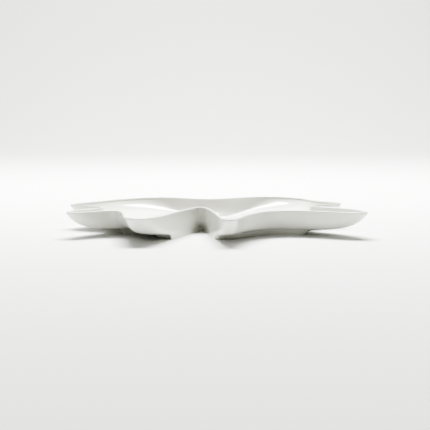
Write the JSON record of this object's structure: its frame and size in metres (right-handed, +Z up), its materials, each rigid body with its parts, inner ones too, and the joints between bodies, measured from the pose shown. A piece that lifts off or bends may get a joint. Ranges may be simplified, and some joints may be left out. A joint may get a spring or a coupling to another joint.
{
  "type": "chip and dip server",
  "caption": "Free-form eight-lobed white platter for chips with a level rim and a deep notch in its front, and a low round dip bowl that lifts out of a seat in its right half.",
  "frame": {"origin": "on the table, under the middle of the platter's overall width and depth", "axes": "+Z up; -Y is the front, where the front notch opens; +X to the right seen from the front"},
  "size_m": [0.4, 0.325, 0.0345],
  "materials": {
    "platter_glaze": null,
    "dip_bowl_glaze": null
  },
  "bodies": {
    "platter": {"platter": "platter_glaze"},
    "dip_bowl": {"dip_bowl": "dip_bowl_glaze"}
  },
  "joints": [
    {"name": "dip_bowl_lift", "type": "slide", "parent": "platter", "child": "dip_bowl", "axis": [0, 0, 1], "range_m": [0, 0.1]}
  ]
}
